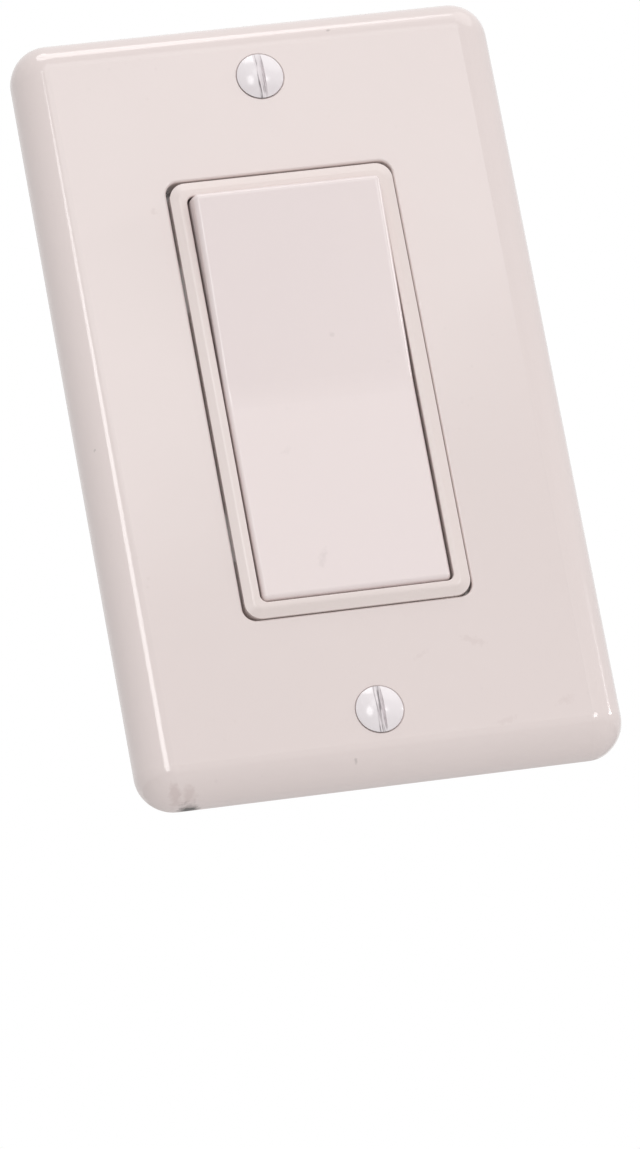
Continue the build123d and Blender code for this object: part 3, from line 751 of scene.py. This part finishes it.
ground_screw_seat = (-15.0, 6.6, -40.2)
ground_screw_length = 8.5
hexagon_half_flats = 3.95
hexagon_height = 2.4
hexagon_bevel_width = 0.25
hexagon_bevel_step = 0.14
hexagon_bevel_steps = 4
hexagon_corner = hexagon_half_flats / cos(radians(30))
hexagon_cap = hexagon_half_flats - hexagon_bevel_width
hexagon_head = [(-hexagon_height, hexagon_cap)]
for step in range(1, hexagon_bevel_steps + 1):
    wider = (hexagon_corner - hexagon_cap) * step / hexagon_bevel_steps
    hexagon_head.append((hexagon_bevel_step * step - hexagon_height, hexagon_cap + wider))
hexagon_head.append((0, hexagon_corner))
green_lacquer = metal(
    "green_lacquer",
    paint(58, 132, 82),
    tarnish=paint(150, 168, 146),
    tarnish_amount=0.55,
    roughness=0.3,
    grain=0.4,
)
screw = turned_screw(
    "ground_screw_threaded",
    seat=ground_screw_seat,
    into=(1, 0, 0),
    slot_along=(0, 0, 1),
    head=hexagon_head,
    shank=[(0, wire_screw_neck)],
    thread_end=ground_screw_length,
    major=wire_screw_thread,
    slot_floor=-1.2,
    half_flats=hexagon_half_flats,
)
fit_screw(screw, green_lacquer, "ground_screw")

# Cover plate: the wide face that everything else shows through.
# It is one compression moulding in a warm white thermoset, with a polished skin and a rolled edge.
# Its rim rests on the wall. A dark smudge has been rubbed into its lower left edge.

plate_plastic = plastic(
    "plate_plastic",
    paint(228, 215, 212),
    drift=paint(226, 213, 210),
    dust=paint(150, 130, 124),
    dust_amount=0.05,
    roughness=0.09,
    texture_scale=350,
    texture_depth=0.004,
)
brown_smudge = paint(54, 42, 38)
pale_smear = paint(180, 156, 152)
add_marks(
    plate_plastic,
    [
        ((-30.7, -4.0, -56.7), (1.0, 4, 1.9), 8, 0.3, 0.30, pale_smear),
        ((-28.7, -4.0, -56.9), (1.3, 4, 1.5), -10, 0.3, 0.26, pale_smear),
        ((-28.5, -0.7, -58.0), (1.9, 1.3, 0.42), 0, 0.2, 1.0, brown_smudge),
        ((-28.6, -1.7, -57.7), (1.7, 1.5, 0.6), 0, 0.35, 0.3, brown_smudge),
        ((11.2, -6, 54.5), (0.4, 2, 0.22), 0, 0.3, 0.3, brown_smudge),
        ((-4.6, -6, -55.4), (0.3, 2, 0.5), 0, 0.3, 0.22, brown_smudge),
        ((-33.4, -3.6, -5.0), (0.3, 2, 0.35), 0, 0.3, 0.7, brown_smudge),
        ((15.2, -6, -40.0), (2.2, 2, 0.7), -25, 0.6, 0.12, pale_smear),
        ((26.8, -6, -50.4), (1.6, 2, 0.7), 20, 0.6, 0.1, pale_smear),
        ((17.8, -6, -52.3), (1.8, 2, 0.6), 10, 0.6, 0.1, pale_smear),
        ((-19.1, -6, 29.4), (0.6, 2, 0.6), 0, 0.5, 0.14, pale_smear),
        ((7.2, -6, -41.2), (1.5, 2, 0.4), 30, 0.6, 0.08, pale_smear),
    ],
)
dress("wall_plate", plate_plastic)

# Cover plate screws: two small oval heads, painted to match the plate.
# The paint is glossy and a little whiter than the plate. A screwdriver has worn it in the slot.

plate_front = -6.0
plate_screw_spacing = 96.84
plate_screw_length = 13.0
plate_screw_lift = 0.04
cone_end = 1.898
plate_screw_neck_end = 2.1
paint_end = -4.2
oval_head_radius = 3.4
oval_dome = 0.95
dome_steps = 14
dome_radius = (oval_head_radius**2 + oval_dome**2) / (2 * oval_dome)
dome_angle = asin(oval_head_radius / dome_radius)
oval_head = []
for step in range(1, dome_steps + 1):
    turn = dome_angle * step / dome_steps
    oval_head.append((dome_radius * (1 - cos(turn)) - oval_dome, dome_radius * sin(turn)))
screw_paint = plastic(
    "screw_paint",
    paint(237, 230, 232),
    drift=paint(231, 224, 226),
    dust=paint(170, 160, 162),
    dust_amount=0.1,
    roughness=0.15,
    texture_scale=500,
    texture_depth=0.006,
)
tree = screw_paint.node_tree
shader = tree.nodes["Principled BSDF"]
painted = shader.inputs["Base Color"].links[0].from_socket
place = piece_place(tree)
split = tree.nodes.new("ShaderNodeSeparateXYZ")
tree.links.new(place, split.inputs["Vector"])
from_slot = calculate(tree, "ABSOLUTE", split.outputs["X"])
in_slot = ramp(tree, from_slot, start=0.42 * MM, end=0.66 * MM, low=1.0, high=0.0)
scratches = noise(tree, stretched(tree, place, (1, 0.2, 0.06)), scale=5200, detail=3)
scratched = ramp(tree, scratches, start=0.46, end=0.62)
worn_here = noise(tree, place, scale=330, detail=2)
worn_here = ramp(tree, worn_here, start=0.34, end=0.56, low=0.1, high=0.95)
rubbed = calculate(tree, "MULTIPLY", in_slot, scratched)
rubbed = calculate(tree, "MULTIPLY", rubbed, worn_here)
worn_paint = blend_colour(tree, rubbed, painted, paint(122, 114, 117))
tree.links.new(worn_paint, shader.inputs["Base Color"])
for side, up in (("upper", 1), ("lower", -1)):
    screw = turned_screw(
        side + "_oval_screw",
        seat=(0, plate_front, up * plate_screw_spacing / 2 + plate_screw_lift),
        into=(0, 1, 0),
        slot_along=(0, 0, 1),
        head=oval_head,
        shank=[(cone_end, machine_thread), (plate_screw_neck_end, machine_neck)],
        thread_end=plate_screw_length,
        major=machine_thread,
        slot_floor=-0.02,
    )
    fit_screw(screw, screw_paint, side + "_plate_screw", screw_zinc, paint_end)

# Camera and studio: the plate seen from below and from its left, with a long lens.
# Soft lamps stand to the left behind the camera and to the right, and panels hang above. The panel
# in front shows in the polished face, and a low strip at the right draws the edge of the paddle.


def soft_lamp(name, azimuth, elevation, distance, width, height, power):
    """An oval lamp that faces the switch. Azimuth 0 is straight in front and grows to the right."""
    side = radians(azimuth)
    up = radians(elevation)
    place = Vector((sin(side) * cos(up), -cos(side) * cos(up), sin(up))) * distance
    light = bpy.data.lights.new(name, "AREA")
    light.shape = "ELLIPSE"
    light.size = width
    light.size_y = height
    light.energy = power
    lamp = bpy.data.objects.new(name, light)
    lamp.location = place
    lamp.rotation_euler = place.to_track_quat("Z", "Y").to_euler()
    scene.collection.objects.link(lamp)


soft_lamp("left_lamp", -16, 9.7, distance=2.0, width=0.54, height=0.9, power=5.4)
soft_lamp("right_lamp", 24, 8, distance=2.0, width=0.36, height=0.36, power=2.0)
soft_lamp("front_panel", 6, 28, distance=2.0, width=1.0, height=0.8, power=2.4)
soft_lamp("top_panel", 59, 49, distance=1.6, width=1.3, height=1.3, power=3.0)
soft_lamp("overhead_panel", -4, 72, distance=2.0, width=1.1, height=1.1, power=9.0)
soft_lamp("side_strip", 77, 11, distance=2.0, width=0.4, height=0.2, power=3.4)

world = bpy.data.worlds.new("white_room")
world.use_nodes = True
scene.world = world
room = world.node_tree
room.nodes.clear()
surface = room.nodes.new("ShaderNodeOutputWorld")
glow = room.nodes.new("ShaderNodeBackground")
glow.inputs["Color"].default_value = (1, 1, 1, 1)
glow.inputs["Strength"].default_value = 0.52
backdrop = room.nodes.new("ShaderNodeBackground")
backdrop.inputs["Color"].default_value = (1, 1, 1, 1)
backdrop.inputs["Strength"].default_value = 1.0
rays = room.nodes.new("ShaderNodeLightPath").outputs
seen = calculate(room, "MAXIMUM", rays["Is Camera Ray"], rays["Is Transmission Ray"])
seen = calculate(room, "MAXIMUM", seen, rays["Is Glossy Ray"])
choose = room.nodes.new("ShaderNodeMixShader")
room.links.new(seen, choose.inputs["Fac"])
room.links.new(glow.outputs["Background"], choose.inputs[1])
room.links.new(backdrop.outputs["Background"], choose.inputs[2])
room.links.new(choose.outputs["Shader"], surface.inputs["Surface"])

floor_half = 3.0
floor_height = -0.5
floor_mesh = bpy.data.meshes.new("pale_floor")
floor_mesh.from_pydata(
    [
        (-floor_half, -floor_half, floor_height),
        (floor_half, -floor_half, floor_height),
        (floor_half, floor_half, floor_height),
        (-floor_half, floor_half, floor_height),
    ],
    [],
    [(0, 1, 2, 3)],
)
floor = bpy.data.objects.new("pale_floor", floor_mesh)
scene.collection.objects.link(floor)
floor_paint = bpy.data.materials.new("pale_floor")
floor_paint.use_nodes = True
tree = floor_paint.node_tree
shader = tree.nodes["Principled BSDF"]
shader.inputs["Base Color"].default_value = (0.9, 0.9, 0.9, 1)
shader.inputs["Roughness"].default_value = 0.7
# The floor is clear from below, so that a camera under it still sees the switch
clear = tree.nodes.new("ShaderNodeBsdfTransparent")
side_seen = tree.nodes.new("ShaderNodeNewGeometry")
two_sided = tree.nodes.new("ShaderNodeMixShader")
tree.links.new(side_seen.outputs["Backfacing"], two_sided.inputs["Fac"])
tree.links.new(shader.outputs["BSDF"], two_sided.inputs[1])
tree.links.new(clear.outputs["BSDF"], two_sided.inputs[2])
tree.links.new(two_sided.outputs["Shader"], tree.nodes["Material Output"].inputs["Surface"])
floor_mesh.materials.append(floor_paint)

lens = bpy.data.cameras.new("camera")
lens.sensor_width = 36
lens.lens = 248.55
lens.clip_start = 0.05
lens.clip_end = 20
camera = bpy.data.objects.new("camera", lens)
camera_place = (-0.239398, -1.048709, -0.363583)
to_right = Vector((0.971036, -0.161734, -0.175872))
to_top = Vector((0.115188, -0.328008, 0.937626))
camera_axes = Matrix((to_right, to_top, to_right.cross(to_top))).transposed()
camera.matrix_world = Matrix.Translation(camera_place) @ camera_axes.to_4x4()
scene.collection.objects.link(camera)
scene.camera = camera

scene.view_settings.view_transform = "Standard"
